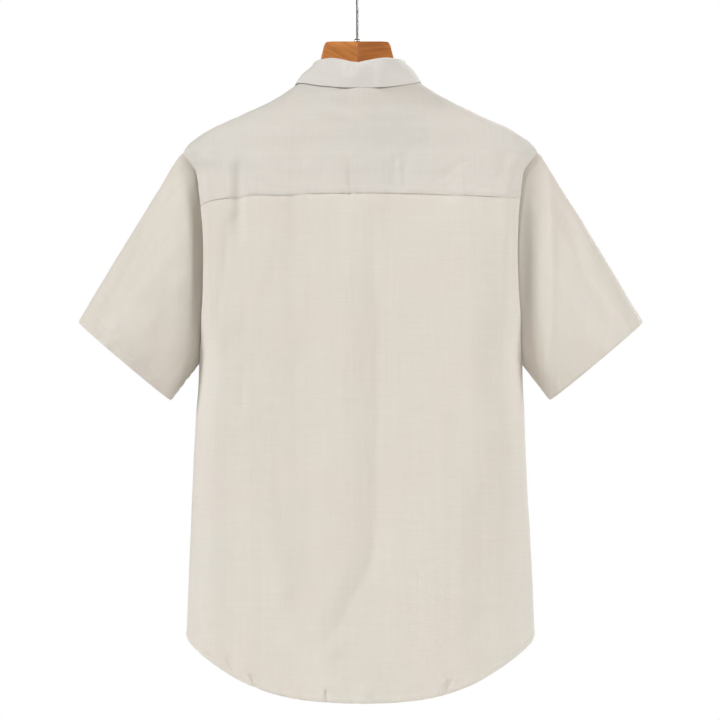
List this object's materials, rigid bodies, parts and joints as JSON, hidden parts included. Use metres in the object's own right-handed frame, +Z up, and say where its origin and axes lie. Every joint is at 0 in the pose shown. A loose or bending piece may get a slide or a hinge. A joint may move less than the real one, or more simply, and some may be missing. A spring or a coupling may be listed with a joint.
{
  "type": "short-sleeved shirt on a wooden hanger",
  "caption": "Short-sleeved woven shirt with a turn-down collar, back yoke, half placket and curved hem, hanging open on a two-part wooden hanger with a wire hook.",
  "frame": {"origin": "inner top of the hanger's hook, where it hangs on a rail", "axes": "+X towards the wearer's left, +Y out of the back of the shirt, +Z up"},
  "size_m": [0.718, 0.1769, 0.9546],
  "materials": {
    "cloth": "plain woven slub linen, warm off-white, matt",
    "cloth_yoke": "the same cloth with its weft across the yoke, a little greyer",
    "cloth_collar": "the same cloth, fused and pressed, slightly lighter",
    "button": "pale four-hole buttons, satin",
    "wood": "warm brown wood, clear varnish",
    "steel": "bright plated steel wire"
  },
  "bodies": {
    "root": {"yoke": "cloth_yoke", "back": "cloth", "front": "cloth", "sleeve_left": "cloth", "sleeve_right": "cloth", "collar_stand": "cloth_collar", "collar_leaf": "cloth_collar", "placket_over": "cloth", "placket_under": "cloth", "button_1": "button", "button_2": "button", "button_3": "button", "button_stand": "button", "hanger_left": "wood", "hanger_right": "wood", "hanger_hook": "steel", "hanger_ferrule": "steel"}
  },
  "joints": []
}
